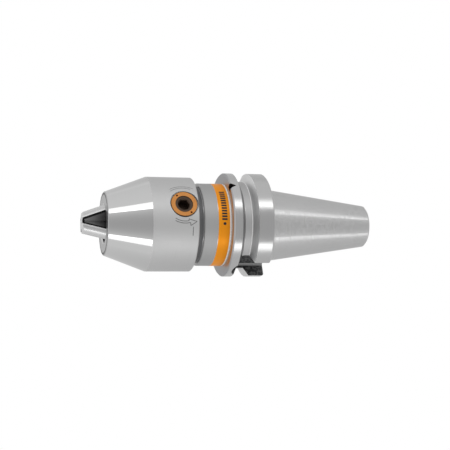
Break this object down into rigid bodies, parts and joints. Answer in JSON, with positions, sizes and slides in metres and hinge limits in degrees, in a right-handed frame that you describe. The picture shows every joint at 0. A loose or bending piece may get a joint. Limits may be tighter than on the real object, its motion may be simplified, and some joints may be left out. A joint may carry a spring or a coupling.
{
  "type": "drill chuck",
  "caption": "Tool-changer drill chuck: round sleeve with a conical nose and three tapered jaws, coloured band, grooved flange and 7/24 taper shank; a side hex socket drives the jaws.",
  "frame": {"origin": "centre of the shank's gauge plane, on the chuck's axis", "axes": "+X along the chuck's axis out of the shank's small end, so the jaws point to -X; +Z out of the hex key socket; the drive key slots are 4 degrees off +Y and -Y, turned towards +Z at -Y"},
  "size_m": [0.1775, 0.063, 0.063],
  "materials": {
    "ground_steel": "fine ground",
    "satin_steel": "satin, turned",
    "orange_anodised": "satin anodised orange",
    "black_steel": "black oxide",
    "bronze": "machined",
    "seal_rubber": "matte",
    "gear_steel": "machined and hardened",
    "spring_steel": "phosphated",
    "bearing_steel": "polished",
    "jaw_steel": "hardened and ground"
  },
  "bodies": {
    "housing": {"shank_body": "ground_steel", "sleeve": "satin_steel", "colour_ring": "orange_anodised", "pinion_bushing": "orange_anodised", "pinion_washer": "bronze", "pinion_o_ring": "seal_rubber", "crown_snap_ring": "spring_steel", "bearing_housing_washer": "bearing_steel", "guide_pin_1": "bearing_steel", "guide_pin_2": "bearing_steel"},
    "crown": {"crown_nut": "gear_steel", "nut_o_ring": "seal_rubber", "bearing_shaft_washer": "bearing_steel"},
    "pinion": {"drive_pinion": "black_steel"},
    "ball_train": {"bearing_balls": "bearing_steel", "ball_cage": "bronze"},
    "carrier": {"jaw_carrier": "gear_steel", "stem_retaining_ring": "spring_steel"},
    "first_jaw": {"jaw_1": "jaw_steel"},
    "second_jaw": {"jaw_2": "jaw_steel"},
    "third_jaw": {"jaw_3": "jaw_steel"}
  },
  "joints": [
    {"name": "crown_turn", "type": "hinge", "parent": "housing", "child": "crown", "pos_m": [-0.048, 0, 0], "axis": [-1, 0, 0], "range_deg": [0, 1980]},
    {"name": "pinion_turn", "type": "hinge", "parent": "housing", "child": "pinion", "pos_m": [-0.0556, 0, 0.02], "axis": [0, 0, 1], "range_deg": [0, 7128]},
    {"name": "ball_train_turn", "type": "hinge", "parent": "housing", "child": "ball_train", "pos_m": [-0.0422, 0, 0], "axis": [-1, 0, 0], "range_deg": [0, 990]},
    {"name": "carrier_slide", "type": "slide", "parent": "housing", "child": "carrier", "axis": [1, 0, 0], "range_m": [0, 0.022]},
    {"name": "jaw_1_slide", "type": "slide", "parent": "carrier", "child": "first_jaw", "axis": [0, 0.7986, 0.6018], "range_m": [0, 0.00801]},
    {"name": "jaw_2_slide", "type": "slide", "parent": "carrier", "child": "second_jaw", "axis": [0, -0.9205, 0.3907], "range_m": [0, 0.00801]},
    {"name": "jaw_3_slide", "type": "slide", "parent": "carrier", "child": "third_jaw", "axis": [0, 0.1219, -0.9925], "range_m": [0, 0.00801]}
  ],
  "couplings": [
    {"joint": "pinion_turn", "follows": "crown_turn", "ratio": 3.6},
    {"joint": "ball_train_turn", "follows": "crown_turn", "ratio": 0.5},
    {"joint": "carrier_slide", "follows": "crown_turn", "m_per_rad": 0.00063662},
    {"joint": "jaw_1_slide", "follows": "crown_turn", "m_per_rad": 0.00023171},
    {"joint": "jaw_2_slide", "follows": "crown_turn", "m_per_rad": 0.00023171},
    {"joint": "jaw_3_slide", "follows": "crown_turn", "m_per_rad": 0.00023171}
  ]
}
